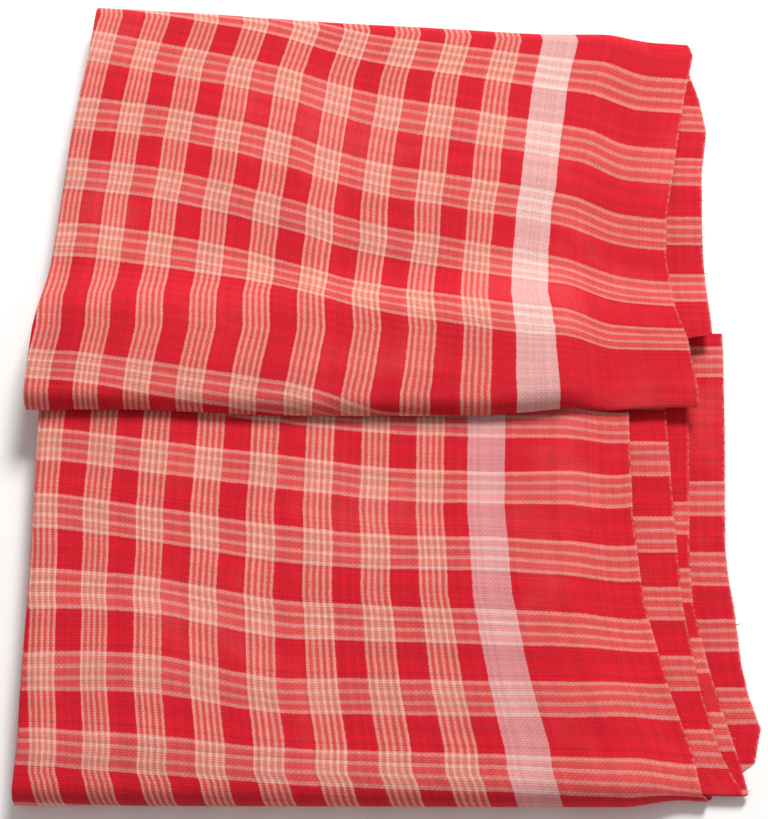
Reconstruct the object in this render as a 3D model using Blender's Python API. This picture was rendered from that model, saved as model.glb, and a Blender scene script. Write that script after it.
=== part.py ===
"""Gamcha towel: one thin checked cotton cloth, folded, as one closed body in metres.

The cloth is folded twice. Along its length it goes back and forth in six layers, with its
two ends on the right. Across its width the six layers go round two wide folds: a back flap
lies on the table, the base comes forward over it from the bottom fold, and a front flap is
turned over at the top crease and rolled down at its lower edge.
X is to the right, Y goes away from the viewer and Z is up.
"""

import math

import bmesh
import bpy
import numpy as np

MM = 0.001
SHEET = 1.0
PITCH = 1.3
LAYERS = 6
TURN = PITCH / 2
GROUP = LAYERS * PITCH
HALF_GROUP = GROUP / 2

# Fold lines across the width, millimetres along Y.
BOTTOM_FOLD_Y = -156.0
FLAP_EDGE_Y = -2.5
BACK_SELVEDGE_Y = 31.0
TOP_CREASE_Y = 181.0
FLAP_ROLL_DEGREES = 78.0

# The pile settles beyond the back flap and at the right, where the four inner layers end.
STEP_START_Y = 33.0
STEP_LENGTH = 29.0
SETTLE_LENGTH = 26.0
SETTLE_SHARE = 0.8
SETTLE_BACK = 30.0
TOP_CREASE_SLANT = -0.073
BOTTOM_FOLD_SLANT = -0.003

# The corners and the flap's rolled edge don't lie quite straight. Millimetres along Y.
TOP_CORNER_RISE = 3.2
BOTTOM_CORNER_DROP = 1.8
FLAP_EDGE_LEFT_RISE = 2.6
FLAP_EDGE_RIGHT_RISE = 7.8
FLAP_EDGE_REACH = 20.0

# Offsets of the left folds of layers 1-2, 3-4 and 5-6 and of the hidden right folds.
LEFT_FOLD_OFFSETS = (0.0, 1.6, 0.7)
RIGHT_FOLD_OFFSETS = (-4.0, -7.0)

# Outline by panel. y: along the panel, left: its left folds, end_1 and end_6: the cloth's
# two ends, which are the outer layers of every panel.
BACK_FLAP = (
    # y, left, end_1, end_6
    (31.0, -135.0, 144.5, 127.0),
    (-15.0, -135.0, 141.2, 126.0),
    (-66.0, -135.0, 136.8, 122.0),
    (-87.0, -135.5, 138.7, 122.0),
    (-115.0, -136.5, 139.5, 127.0),
    (-134.0, -137.0, 145.0, 132.0),
    (-143.0, -137.5, 142.5, 134.5),
    (-156.0, -138.0, 124.0, 137.0),
)
BASE = (
    # y, left, end_1, end_6
    (-156.0, -137.0, 118.5, 134.5),
    (-143.0, -136.8, 116.5, 128.0),
    (-120.0, -137.5, 109.5, 122.0),
    (-85.0, -138.0, 102.0, 117.5),
    (-50.0, -139.3, 100.0, 117.0),
    (-10.0, -140.7, 101.0, 117.0),
    (31.0, -140.0, 102.0, 117.5),
    (90.0, -138.0, 107.0, 120.0),
    (150.0, -134.0, 120.0, 131.0),
    (181.0, -132.5, 130.0, 138.0),
)
FRONT_FLAP = (
    # y, left, end_1, end_6
    (181.0, -133.0, 138.0, 142.0),
    (158.0, -134.5, 143.5, 136.5),
    (140.0, -136.8, 145.3, 133.0),
    (118.0, -139.0, 141.5, 128.5),
    (90.0, -140.5, 139.5, 123.5),
    (70.0, -141.8, 138.5, 122.0),
    (44.0, -143.5, 138.5, 123.5),
    (31.0, -145.0, 138.5, 126.5),
    (27.0, -145.5, 120.0, 127.5),
    (15.0, -146.0, 119.0, 128.5),
    (-2.5, -146.3, 119.0, 130.0),
)

# Soft ridges and troughs. x, y: middle, heading: degrees from +X, and half sizes and height.
SWELLS = (
    # x, y, heading, half_length, half_width, height
    (-95.0, 95.0, 84.0, 150.0, 55.0, 1.3),
    (-20.0, 120.0, 96.0, 120.0, 34.0, -1.0),
    (55.0, 60.0, 100.0, 130.0, 42.0, 0.9),
    (-90.0, -95.0, 20.0, 90.0, 40.0, 1.2),
    (-10.0, -70.0, 78.0, 90.0, 36.0, -0.8),
    (60.0, -110.0, 150.0, 80.0, 38.0, 0.9),
)
SWELL_REFERENCE = 17.0

# Stations along the cloth, shared by the layers so that neighbours keep their gap.
ROW_Y = (-156.0, -143.0, -115.0, -70.0, -20.0, -2.5, 13.0, 27.0, 31.0, 41.0, 52.0, 62.0, 100.0, 140.0,
         181.0)
COLUMN_X = (-84.0, -24.0, 36.0)
LAST_COLUMN_BACK = 14.0
SETTLE_X = (24.0, 16.0, 8.0, 0.0)
FOLD_STEPS = 3
WIDE_FOLD_STEPS = 5
ROLL_STEPS = 3


def ease(t: float) -> float:
    """A soft rise from 0 to 1."""
    t = min(1.0, max(0.0, t))
    return t * t * (3.0 - 2.0 * t)


def read_outline(panel: tuple, y: float) -> tuple:
    """Left, end_1 and end_6 of a panel at a height along it."""
    rows = sorted(panel)
    heights = [row[0] for row in rows]
    return tuple(float(np.interp(y, heights, [row[k] for row in rows])) for k in (1, 2, 3))


def settle_x(y: float) -> float:
    """Where the pile starts to thin out at the right."""
    return read_outline(BASE, y)[1] - SETTLE_BACK


def mixed(a: tuple, b: tuple, t: float) -> tuple:
    """Values between two outlines."""
    return tuple(p + (q - p) * t for p, q in zip(a, b))


def cloth_rows() -> list:
    """Rows across the width: y and z of the group's middle, its normal and its outline."""
    rows = []
    for y in sorted((v for v in ROW_Y if v <= BACK_SELVEDGE_Y), reverse=True):
        rows.append((y, HALF_GROUP, 0.0, -1.0, read_outline(BACK_FLAP, y)))
    back, base = read_outline(BACK_FLAP, BOTTOM_FOLD_Y), read_outline(BASE, BOTTOM_FOLD_Y)
    for k in range(1, WIDE_FOLD_STEPS):
        angle = math.pi * (k / WIDE_FOLD_STEPS - 0.5)
        out, up = -math.cos(angle), math.sin(angle)
        y = BOTTOM_FOLD_Y + HALF_GROUP * out
        rows.append((y, GROUP + HALF_GROUP * up, out, up, mixed(back, base, k / WIDE_FOLD_STEPS)))
    for y in ROW_Y:
        rows.append((y, GROUP + HALF_GROUP, 0.0, 1.0, read_outline(BASE, y)))
    base, front = read_outline(BASE, TOP_CREASE_Y), read_outline(FRONT_FLAP, TOP_CREASE_Y)
    for k in range(1, WIDE_FOLD_STEPS):
        angle = math.pi * (k / WIDE_FOLD_STEPS - 0.5)
        out, up = math.cos(angle), math.sin(angle)
        y = TOP_CREASE_Y + HALF_GROUP * out
        rows.append((y, 2 * GROUP + HALF_GROUP * up, -out, -up, mixed(base, front, k / WIDE_FOLD_STEPS)))
    for y in sorted((v for v in ROW_Y if v >= FLAP_EDGE_Y), reverse=True):
        rows.append((y, 2 * GROUP + HALF_GROUP, 0.0, -1.0, read_outline(FRONT_FLAP, y)))
    outline = read_outline(FRONT_FLAP, FLAP_EDGE_Y)
    for k in range(1, ROLL_STEPS + 1):
        angle = math.radians(FLAP_ROLL_DEGREES) * k / ROLL_STEPS
        out, up = -math.sin(angle), math.cos(angle)
        y = FLAP_EDGE_Y + HALF_GROUP * out
        rows.append((y, 2 * GROUP + HALF_GROUP * up, -out, -up, outline))
    return rows


def layer_height(layer: int) -> float:
    """Height of a layer in its group, layer 1 highest."""
    return (0.5 * (LAYERS + 1) - layer) * PITCH


def length_profile(y: float, outline: tuple) -> list:
    """The back-and-forth section of one row: x, height in the group, and its normal."""
    left, end_1, end_6 = outline
    start = settle_x(y)
    points = []
    for layer in range(1, LAYERS + 1):
        height = layer_height(layer)
        side = 1.0 if layer % 2 else -1.0
        xs = [*COLUMN_X, start - LAST_COLUMN_BACK]
        near = left + LEFT_FOLD_OFFSETS[(layer - 1) // 2] + TURN
        if layer in (1, LAYERS):
            far = end_1 if layer == 1 else end_6
            xs = [near] + xs + [start + d for d in sorted(SETTLE_X)] + [far]
        else:
            xs = [near] + xs + [start + RIGHT_FOLD_OFFSETS[layer // 2 - 1] - TURN]
        if side > 0:
            xs.reverse()
        points += [(x, height, 0.0, side) for x in xs]
        if layer == LAYERS:
            break
        middle = height - TURN
        turn = -1.0 if side > 0 else 1.0
        for k in range(1, FOLD_STEPS):
            angle = math.pi * k / FOLD_STEPS
            out, up = turn * math.sin(angle), math.cos(angle)
            points.append((xs[-1] + TURN * out, middle + TURN * up, side * out, side * up))
    return points


def corner_shift(x: float, y: float, z: float) -> float:
    """How far the corners and the flap's rolled edge lie from straight, along Y."""
    shift = TOP_CORNER_RISE * ease((x - 60.0) / 65.0) * ease((y - 100.0) / 60.0)
    shift -= BOTTOM_CORNER_DROP * ease((x - 95.0) / 35.0) * ease((-110.0 - y) / 45.0)
    if z > 2 * GROUP - TURN + SHEET / 2:
        rise = FLAP_EDGE_LEFT_RISE * ease((-40.0 - x) / 70.0)
        rise += FLAP_EDGE_RIGHT_RISE * ease((x - 36.0) / 84.0)
        shift += rise * math.exp(-(((y - FLAP_EDGE_Y) / FLAP_EDGE_REACH) ** 2))
    return shift


def settled(x: float, y: float, z: float) -> tuple:
    """Lets the flat pile settle, slants its folds and gives it soft swells. Layers never cross."""
    shift = corner_shift(x, y, z)
    share = SETTLE_SHARE * ease((x - settle_x(y)) / SETTLE_LENGTH)
    shift += share * min(max(BOTTOM_FOLD_Y - y - PITCH, 0.0), GROUP - 2 * PITCH)
    lost = 0.0
    for group in range(3):
        low = group * GROUP + PITCH
        lost += min(max(z - low, 0.0), GROUP - 2 * PITCH)
    z -= share * lost
    under = GROUP - share * (GROUP - 2 * PITCH)
    z -= under * ease((y - STEP_START_Y) / STEP_LENGTH)
    y += shift
    swell = 0.0
    for x0, y0, heading, half_length, half_width, height in SWELLS:
        turn = math.radians(heading)
        along = (x - x0) * math.cos(turn) + (y - y0) * math.sin(turn)
        across = (y - y0) * math.cos(turn) - (x - x0) * math.sin(turn)
        swell += height * math.exp(-((along / half_length) ** 2) - (across / half_width) ** 2)
    lift = 1.0 + swell / SWELL_REFERENCE
    y += TOP_CREASE_SLANT * x * ease((y - 40.0) / (TOP_CREASE_Y - 40.0))
    y += BOTTOM_FOLD_SLANT * x * ease((-60.0 - y) / (-60.0 - BOTTOM_FOLD_Y))
    return x, y, z * lift


def cloth_points(offset: float) -> tuple:
    """One side of the cloth, as rows of points, with the flat places of its middle."""
    floor = TURN - SHEET / 2
    points, places = [], []
    for y0, z0, ny, nz, outline in cloth_rows():
        row, place = [], []
        for x, h, nx, nh in length_profile(min(max(y0, BOTTOM_FOLD_Y), TOP_CREASE_Y), outline):
            height = h + offset * nh
            row.append(settled(x + offset * nx, y0 + ny * height, z0 + nz * height - floor))
            place.append((x, y0 + ny * h))
        points.append(row)
        places.append(place)
    return points, places


def build_cloth(name: str) -> bpy.types.Object:
    """The closed body: both sides of the cloth and a rim round its four edges."""
    upper, places = cloth_points(SHEET / 2)
    lower, _ = cloth_points(-SHEET / 2)
    rows, columns = len(upper), len(upper[0])
    mesh = bmesh.new()
    a = [[mesh.verts.new([c * MM for c in p]) for p in row] for row in upper]
    b = [[mesh.verts.new([c * MM for c in p]) for p in row] for row in lower]
    for i in range(rows - 1):
        for j in range(columns - 1):
            across = places[i][j + 1][0] - places[i][j][0]
            along = places[i + 1][j][1] - places[i][j][1]
            for side in (a, b):
                p, q, r, s = side[i][j], side[i][j + 1], side[i + 1][j + 1], side[i + 1][j]
                if across * along >= 0:
                    faces = ((p, q, r), (p, r, s))
                else:
                    faces = ((p, q, s), (q, r, s))
                for face in faces:
                    mesh.faces.new(face if side is a else face[::-1])
    edge = [(i, 0) for i in range(rows)]
    edge += [(rows - 1, j) for j in range(1, columns)]
    edge += [(i, columns - 1) for i in range(rows - 2, -1, -1)]
    edge += [(0, j) for j in range(columns - 2, 0, -1)]
    for (i, j), (k, m) in zip(edge, edge[1:] + edge[:1]):
        mesh.faces.new((a[i][j], a[k][m], b[k][m]))
        mesh.faces.new((a[i][j], b[k][m], b[i][j]))
    bmesh.ops.recalc_face_normals(mesh, faces=mesh.faces)
    data = bpy.data.meshes.new(name)
    mesh.to_mesh(data)
    mesh.free()
    towel = bpy.data.objects.new(name, data)
    bpy.context.scene.collection.objects.link(towel)
    return towel


def centre_on_floor(towel: bpy.types.Object) -> None:
    """Puts the origin under the middle of the outline, with the underside at z = 0."""
    mesh = towel.data
    co = np.empty(len(mesh.vertices) * 3)
    mesh.vertices.foreach_get("co", co)
    co = co.reshape(-1, 3)
    low, high = co.min(axis=0), co.max(axis=0)
    co -= ((low[0] + high[0]) / 2, (low[1] + high[1]) / 2, low[2])
    mesh.vertices.foreach_set("co", co.ravel())
    mesh.update()


def cotton() -> bpy.types.Material:
    """Red cotton."""
    material = bpy.data.materials.new("red_cotton")
    material.use_nodes = True
    shader = material.node_tree.nodes["Principled BSDF"]
    shader.inputs["Base Color"].default_value = (0.62, 0.03, 0.045, 1.0)
    shader.inputs["Roughness"].default_value = 0.85
    return material


def main() -> None:
    for obj in list(bpy.data.objects):
        bpy.data.objects.remove(obj, do_unlink=True)
    towel = build_cloth("gamcha_towel")
    centre_on_floor(towel)
    towel.data.materials.append(cotton())
    for polygon in towel.data.polygons:
        polygon.use_smooth = True


main()
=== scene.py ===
"""Gamcha towel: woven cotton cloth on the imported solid's folds, its frayed ends and its studio."""

import logging
import math
from dataclasses import dataclass, field
from enum import Enum
from typing import Any

import bpy
import numpy as np
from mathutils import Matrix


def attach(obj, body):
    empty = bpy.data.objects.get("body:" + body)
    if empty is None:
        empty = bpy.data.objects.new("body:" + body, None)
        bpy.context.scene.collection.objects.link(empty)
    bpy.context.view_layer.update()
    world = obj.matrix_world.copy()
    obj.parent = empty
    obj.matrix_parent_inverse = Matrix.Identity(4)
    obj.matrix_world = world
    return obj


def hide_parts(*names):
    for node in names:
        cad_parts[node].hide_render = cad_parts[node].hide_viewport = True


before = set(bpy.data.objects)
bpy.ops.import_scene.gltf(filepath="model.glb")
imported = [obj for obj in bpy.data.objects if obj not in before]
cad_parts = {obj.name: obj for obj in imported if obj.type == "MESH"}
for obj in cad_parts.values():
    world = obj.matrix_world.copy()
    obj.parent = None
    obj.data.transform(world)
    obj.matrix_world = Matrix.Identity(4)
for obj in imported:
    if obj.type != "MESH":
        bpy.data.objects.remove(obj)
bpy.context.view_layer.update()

MM = 0.001
LOG = logging.getLogger("gamcha_towel")
MATH, RAMP = "ShaderNodeMath", "ShaderNodeMapRange"
MIX, NOISE = "ShaderNodeMix", "ShaderNodeTexNoise"
ROUNDING = (-12.0, -6.0, 0.0, 6.0, 12.0)


def ease(t: Any) -> Any:
    """A soft rise from 0 to 1, for a number or an array."""
    t = np.clip(t, 0.0, 1.0)
    return t * t * (3.0 - 2.0 * t)


@dataclass(frozen=True)
class Ramp:
    """A soft rise from 0 to 1 that begins at start. A negative length makes it rise downwards."""

    start: float
    length: float

    def at(self, value: Any) -> Any:
        """How far the rise has come at a value, or at each of an array."""
        return ease((value - self.start) / self.length)


def linear(hex_colour: str) -> tuple[float, float, float, float]:
    """Turns an sRGB hex colour into linear values.

    Args:
        hex_colour: Six hex digits after a hash sign.

    Returns:
        Linear red, green, blue and an alpha of 1.
    """
    parts = [int(hex_colour[k:k + 2], 16) / 255.0 for k in (1, 3, 5)]
    turned = [c / 12.92 if c <= 0.04045 else ((c + 0.055) / 1.055) ** 2.4 for c in parts]
    return turned[0], turned[1], turned[2], 1.0


def node(tree: bpy.types.NodeTree, kind: str, inputs: Any, **settings: Any) -> bpy.types.Node:
    """Adds one node, with its settings and what feeds it.

    Args:
        tree: The node tree.
        kind: The node's type name.
        inputs: A value, a node or a node's socket for each input, by name or number or in order.
        settings: Properties of the node itself.

    Returns:
        The new node.
    """
    made = tree.nodes.new(kind)
    for name, value in settings.items():
        setattr(made, name, value)
    for key, value in inputs.items() if isinstance(inputs, dict) else enumerate(inputs):
        if isinstance(value, bpy.types.Node):
            value = value.outputs[0]
        if isinstance(value, bpy.types.NodeSocket):
            tree.links.new(value, made.inputs[key])
        else:
            made.inputs[key].default_value = value
    return made


def mesh_object(name: str, points: np.ndarray, faces: list[tuple[int, ...]],
                places: np.ndarray) -> bpy.types.Object:
    """Makes a smooth mesh object with the cloth's own coordinates as its UV map.

    Args:
        name: The object's name.
        points: Vertices in metres.
        faces: Vertex numbers of each face.
        places: Length and width along the flat cloth of each vertex, in metres.

    Returns:
        The object, linked to the scene.
    """
    mesh = bpy.data.meshes.new(name)
    mesh.from_pydata(points.tolist(), [], faces)
    uv = mesh.uv_layers.new(name="cloth")
    corners = np.empty(len(mesh.loops), np.int32)
    mesh.loops.foreach_get("vertex_index", corners)
    uv.data.foreach_set("uv", places[corners].astype(np.float32).ravel())
    mesh.polygons.foreach_set("use_smooth", np.ones(len(mesh.polygons), bool))
    mesh.update()
    made = bpy.data.objects.new(name, mesh)
    bpy.context.scene.collection.objects.link(made)
    return made


class Region(Enum):
    """Where a row of the cloth lies across its two wide folds."""

    BACK_FLAP = "back flap"
    BOTTOM_FOLD = "bottom fold"
    BASE = "base"
    TOP_CREASE = "top crease"
    FRONT_FLAP = "front flap"
    ROLLED_EDGE = "rolled edge"


@dataclass(frozen=True)
class Outline:
    """Where the left folds and the cloth's two ends lie at one y of a panel, in mm."""

    y: float
    left: float
    end_1: float
    end_6: float


@dataclass(frozen=True)
class Relief:
    """One soft ridge or trough. A trough has a height below zero. All in mm and degrees."""

    x: float
    y: float
    heading: float
    half_length: float
    half_width: float
    height: float

    def at(self, x: Any, y: Any) -> Any:
        """Its height at a place, or at each of an array.

        Args:
            x: Place to the right.
            y: Place away from the viewer.

        Returns:
            The height, below zero in a trough.
        """
        turn = math.radians(self.heading)
        along = (x - self.x) * math.cos(turn) + (y - self.y) * math.sin(turn)
        across = (y - self.y) * math.cos(turn) - (x - self.x) * math.sin(turn)
        return self.height * np.exp(-((along / self.half_length) ** 2)
                                    - (across / self.half_width) ** 2)


def soft_read(x: Any, places: tuple[float, ...], values: tuple[float, ...]) -> Any:
    """Reads a value between those set at a few places along x, with the bends rounded, in mm."""
    return sum(np.interp(x + d, places, values) for d in ROUNDING) / len(ROUNDING)


@dataclass(frozen=True)
class RowLine:
    """The row lies at a place across the flat cloth, and path holds how far from the front selvedge
    the folded cloth carries it, at the panel's few places along x. All in mm.
    """

    place: float
    path: tuple[float, ...]

    @staticmethod
    def read(lines: tuple["RowLine", ...], places: tuple[float, ...], x: Any, path: Any) -> Any:
        """Where on the flat cloth's width a point lies.

        Args:
            lines: The panel's rows, from the front selvedge on.
            places: The panel's few places along x.
            x: The point's place to the right.
            path: How far the point is from the front selvedge along the folded cloth.

        Returns:
            The place across the flat cloth.
        """
        nodes = [soft_read(x, places, line.path) for line in lines]
        across = path - nodes[0] + lines[0].place
        for low, high, line, after in zip(nodes, nodes[1:], lines, lines[1:]):
            share = np.clip((path - low) / (high - low), 0.0, 1.0)
            across = across + share * ((after.place - line.place) - (high - low))
        return across


@dataclass(frozen=True)
class ColumnSlide:
    """How far the columns have slid towards the right at one y of a panel, at a few x, in mm."""

    y: float
    slide: tuple[float, ...]

    @staticmethod
    def read(table: tuple["ColumnSlide", ...], places: tuple[float, ...], x: Any, y: float) -> Any:
        """The slide at a place.

        Args:
            table: The panel's slides.
            places: The panel's few places along x.
            x: Place to the right.
            y: Place away from the viewer.

        Returns:
            The slide towards the right.
        """
        rows = sorted(table, key=lambda row: row.y)
        heights = [row.y for row in rows]
        values = tuple(float(np.interp(y, heights, [row.slide[k] for row in rows]))
                       for k in range(len(places)))
        return soft_read(x, places, values)


@dataclass(frozen=True)
class RowSlip:
    """How far the rows have slipped away from the front selvedge at one y of a strip, in mm."""

    y: float
    slip: float

    @staticmethod
    def read(table: tuple["RowSlip", ...], y: float) -> float:
        """The slip at one y."""
        return float(np.interp(y, [line.y for line in table], [line.slip for line in table]))


@dataclass(frozen=True)
class LayerCut:
    """How finely a layer is cut: places before head_x, a step up to tail_x, and places beyond."""

    head: int
    step: float
    tail_x: float
    tail: int


@dataclass(frozen=True)
class Row:
    """One row of points across the pile: the pile's middle, its normal and its outline, in mm."""

    region: Region
    y: float
    z: float
    normal_y: float
    normal_z: float
    outline: tuple[float, float, float]
    panel_y: float


@dataclass
class FoldedCloth:
    """The towel: six layers back and forth along its length, round two folds across its width.

    Sizes are in mm, in the solid's own drawing, whose origin is the picture's middle.
    """

    sheet: float = 0.6
    pitch: float = 1.3
    layers: int = 6
    length: float = 1400.0
    origin_x: float = -0.673
    origin_y: float = 17.165
    bottom_fold_y: float = -156.0
    flap_edge_y: float = -2.5
    # The solid's back selvedge lies at 31. Here it goes on a little under the front flap's corner.
    back_selvedge_y: float = 35.0
    top_crease_y: float = 181.0
    flap_roll_degrees: float = 78.0
    # Towards the two ends at the right the pile settles and grows thinner.
    settle_length: float = 26.0
    settle_share: float = 0.8
    settle_back: float = 30.0
    top_crease_slant: float = -0.073
    bottom_fold_slant: float = -0.003
    top_corner_rise: float = 3.2
    bottom_corner_drop: float = 1.8
    flap_edge_left_rise: float = 2.6
    flap_edge_right_rise: float = 7.8
    flap_edge_reach: float = 20.0
    # Where along x or y the step, the slants, the corners and the rises of the edge come in.
    step_down: Ramp = Ramp(start=33.0, length=29.0)
    top_crease_slants: Ramp = Ramp(start=40.0, length=141.0)
    bottom_fold_slants: Ramp = Ramp(start=-60.0, length=-96.0)
    top_corner_x: Ramp = Ramp(start=60.0, length=65.0)
    top_corner_y: Ramp = Ramp(start=100.0, length=60.0)
    bottom_corner_x: Ramp = Ramp(start=95.0, length=35.0)
    bottom_corner_y: Ramp = Ramp(start=-110.0, length=-45.0)
    flap_edge_left_x: Ramp = Ramp(start=-40.0, length=-70.0)
    flap_edge_right_x: Ramp = Ramp(start=36.0, length=84.0)
    left_fold_offsets: tuple[float, ...] = (0.0, 1.6, 0.7)
    right_fold_offsets: tuple[float, ...] = (-4.0, -7.0)
    # How finely the rows and the layers are cut, and where the front flap's end steps back.
    fine_step: float = 3.2
    coarse_step: float = 12.0
    hidden_step: float = 7.0
    seen_under_edge: float = 6.0
    hidden_fine_y: float = 66.0
    notch_y: tuple[float, float, float] = (31.0, 29.0, 27.0)
    head_x: float = -126.0
    outer_cut: LayerCut = LayerCut(head=5, step=3.2, tail_x=60.0, tail=23)
    inner_cut: LayerCut = LayerCut(head=2, step=12.0, tail_x=54.0, tail=3)
    fold_steps: int = 5
    wide_fold_steps: int = 10
    roll_steps: int = 8
    smooth_degrees: float = 50.0
    swell_reference: float = 17.0
    panels: int = 3
    back_flap: tuple[Outline, ...] = (
        Outline(y=31.0, left=-135.0, end_1=144.5, end_6=127.0),
        Outline(y=-15.0, left=-135.0, end_1=141.2, end_6=126.0),
        Outline(y=-66.0, left=-135.0, end_1=136.8, end_6=122.0),
        Outline(y=-87.0, left=-135.5, end_1=138.7, end_6=122.0),
        Outline(y=-115.0, left=-136.5, end_1=139.5, end_6=127.0),
        Outline(y=-134.0, left=-137.0, end_1=145.0, end_6=132.0),
        Outline(y=-143.0, left=-137.5, end_1=142.5, end_6=134.5),
        Outline(y=-156.0, left=-138.0, end_1=124.0, end_6=137.0),
    )
    base: tuple[Outline, ...] = (
        Outline(y=-156.0, left=-137.0, end_1=118.5, end_6=134.5),
        Outline(y=-143.0, left=-136.8, end_1=116.5, end_6=128.0),
        Outline(y=-120.0, left=-137.5, end_1=109.5, end_6=122.0),
        Outline(y=-85.0, left=-138.0, end_1=102.0, end_6=117.5),
        Outline(y=-50.0, left=-139.3, end_1=100.0, end_6=117.0),
        Outline(y=-10.0, left=-140.7, end_1=101.0, end_6=117.0),
        Outline(y=31.0, left=-140.0, end_1=102.0, end_6=117.5),
        Outline(y=90.0, left=-138.0, end_1=107.0, end_6=120.0),
        Outline(y=150.0, left=-134.0, end_1=120.0, end_6=131.0),
        Outline(y=181.0, left=-132.5, end_1=130.0, end_6=138.0),
    )
    front_flap: tuple[Outline, ...] = (
        Outline(y=181.0, left=-133.0, end_1=138.0, end_6=142.0),
        Outline(y=158.0, left=-134.5, end_1=143.5, end_6=136.5),
        Outline(y=140.0, left=-136.8, end_1=145.3, end_6=133.0),
        Outline(y=118.0, left=-139.0, end_1=141.5, end_6=128.5),
        Outline(y=90.0, left=-140.5, end_1=139.5, end_6=123.5),
        Outline(y=70.0, left=-141.8, end_1=138.5, end_6=122.0),
        Outline(y=44.0, left=-143.5, end_1=138.5, end_6=123.5),
        Outline(y=31.0, left=-145.0, end_1=138.5, end_6=126.5),
        Outline(y=27.0, left=-145.5, end_1=120.0, end_6=127.5),
        Outline(y=15.0, left=-146.0, end_1=119.0, end_6=128.5),
        Outline(y=-2.5, left=-146.3, end_1=119.0, end_6=130.0),
    )
    swells: tuple[Relief, ...] = (
        Relief(x=-95.0, y=95.0, heading=84.0, half_length=150.0, half_width=55.0, height=1.3),
        Relief(x=-20.0, y=120.0, heading=96.0, half_length=120.0, half_width=34.0, height=-1.0),
        Relief(x=55.0, y=60.0, heading=100.0, half_length=130.0, half_width=42.0, height=0.9),
        Relief(x=-90.0, y=-95.0, heading=20.0, half_length=90.0, half_width=40.0, height=1.2),
        Relief(x=-10.0, y=-70.0, heading=78.0, half_length=90.0, half_width=36.0, height=-0.8),
        Relief(x=60.0, y=-110.0, heading=150.0, half_length=80.0, half_width=38.0, height=0.9),
    )
    # The creases are narrower than the solid's swells, and troughs are halved.
    trough_share: float = 0.5
    flap_crease_layers: Ramp = Ramp(start=4.0, length=2.0)
    flap_crease_heights: Ramp = Ramp(start=1.6, length=0.6)
    base_crease_layers: Ramp = Ramp(start=3.0, length=-2.0)
    base_crease_y: Ramp = Ramp(start=-156.0, length=12.0)
    flap_creases: tuple[Relief, ...] = (
        Relief(x=-35.0, y=95.0, heading=97.0, half_length=75.0, half_width=7.0, height=0.7),
        Relief(x=-22.0, y=100.0, heading=97.0, half_length=70.0, half_width=8.0, height=-0.6),
        Relief(x=-88.0, y=60.0, heading=70.0, half_length=50.0, half_width=9.0, height=0.4),
        Relief(x=96.0, y=60.0, heading=94.0, half_length=60.0, half_width=7.0, height=0.5),
        Relief(x=20.0, y=30.0, heading=165.0, half_length=70.0, half_width=8.0, height=0.4),
        Relief(x=-20.0, y=8.0, heading=178.0, half_length=110.0, half_width=5.0, height=0.5),
        Relief(x=-142.0, y=90.0, heading=94.0, half_length=150.0, half_width=5.5, height=-2.2),
    )
    base_creases: tuple[Relief, ...] = (
        Relief(x=-70.0, y=-70.0, heading=110.0, half_length=55.0, half_width=8.0, height=0.5),
        Relief(x=-30.0, y=-95.0, heading=95.0, half_length=60.0, half_width=9.0, height=-0.5),
        Relief(x=70.0, y=-70.0, heading=86.0, half_length=60.0, half_width=8.0, height=0.5),
        Relief(x=88.0, y=-125.0, heading=30.0, half_length=30.0, half_width=6.0, height=0.5),
        Relief(x=-100.0, y=-142.0, heading=4.0, half_length=70.0, half_width=6.0, height=0.4),
        Relief(x=-140.0, y=-80.0, heading=90.0, half_length=150.0, half_width=5.5, height=-2.2),
    )
    # The weave has been pulled a little askew, so the check's rows and columns wander.
    flap_row_x: tuple[float, ...] = (-135.0, -95.0, -50.0, -28.0, -5.0, 60.0, 115.0)
    flap_rows: tuple[RowLine, ...] = (
        RowLine(place=12.5, path=(20.7, 13.5, 9.0, 6.0, -4.5, -9.0, -14.0)),
        RowLine(place=68.9, path=(84.5, 78.8, 70.0, 62.4, 54.5, 41.5, 39.2)),
        RowLine(place=97.1, path=(114.2, 110.0, 99.0, 92.4, 85.5, 71.5, 61.3)),
        RowLine(place=125.4, path=(141.5, 138.5, 130.5, 122.9, 115.0, 104.0, 93.0)),
        RowLine(place=153.6, path=(177.5, 170.3, 164.5, 157.9, 151.0, 140.6, 131.5)),
        RowLine(place=181.9, path=(208.0, 201.5, 196.0, 190.1, 184.0, 178.0, 170.0)),
        RowLine(place=210.1, path=(236.2, 229.7, 224.2, 218.7, 213.0, 210.5, 212.0)),
    )
    base_row_x: tuple[float, ...] = (-135.0, -90.0, -45.0, 0.0, 45.0, 84.0, 104.0)
    base_rows: tuple[RowLine, ...] = (
        RowLine(place=379.5, path=(360.5, 367.0, 372.5, 377.5, 379.5, 379.5, 378.0)),
        RowLine(place=407.8, path=(388.5, 395.0, 400.0, 406.0, 408.0, 407.5, 404.5)),
        RowLine(place=436.0, path=(416.0, 423.5, 431.0, 434.5, 435.0, 438.5, 436.0)),
        RowLine(place=464.3, path=(449.0, 451.5, 461.5, 463.5, 465.0, 467.0, 466.0)),
        RowLine(place=492.5, path=(483.0, 482.0, 492.0, 491.5, 492.5, 492.0, 490.5)),
        RowLine(place=520.7, path=(510.0, 513.5, 516.5, 518.5, 519.5, 521.5, 521.5)),
    )
    flap_slide_x: tuple[float, ...] = (-137.0, -112.0, -50.0, 0.0, 65.0, 112.0)
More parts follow.
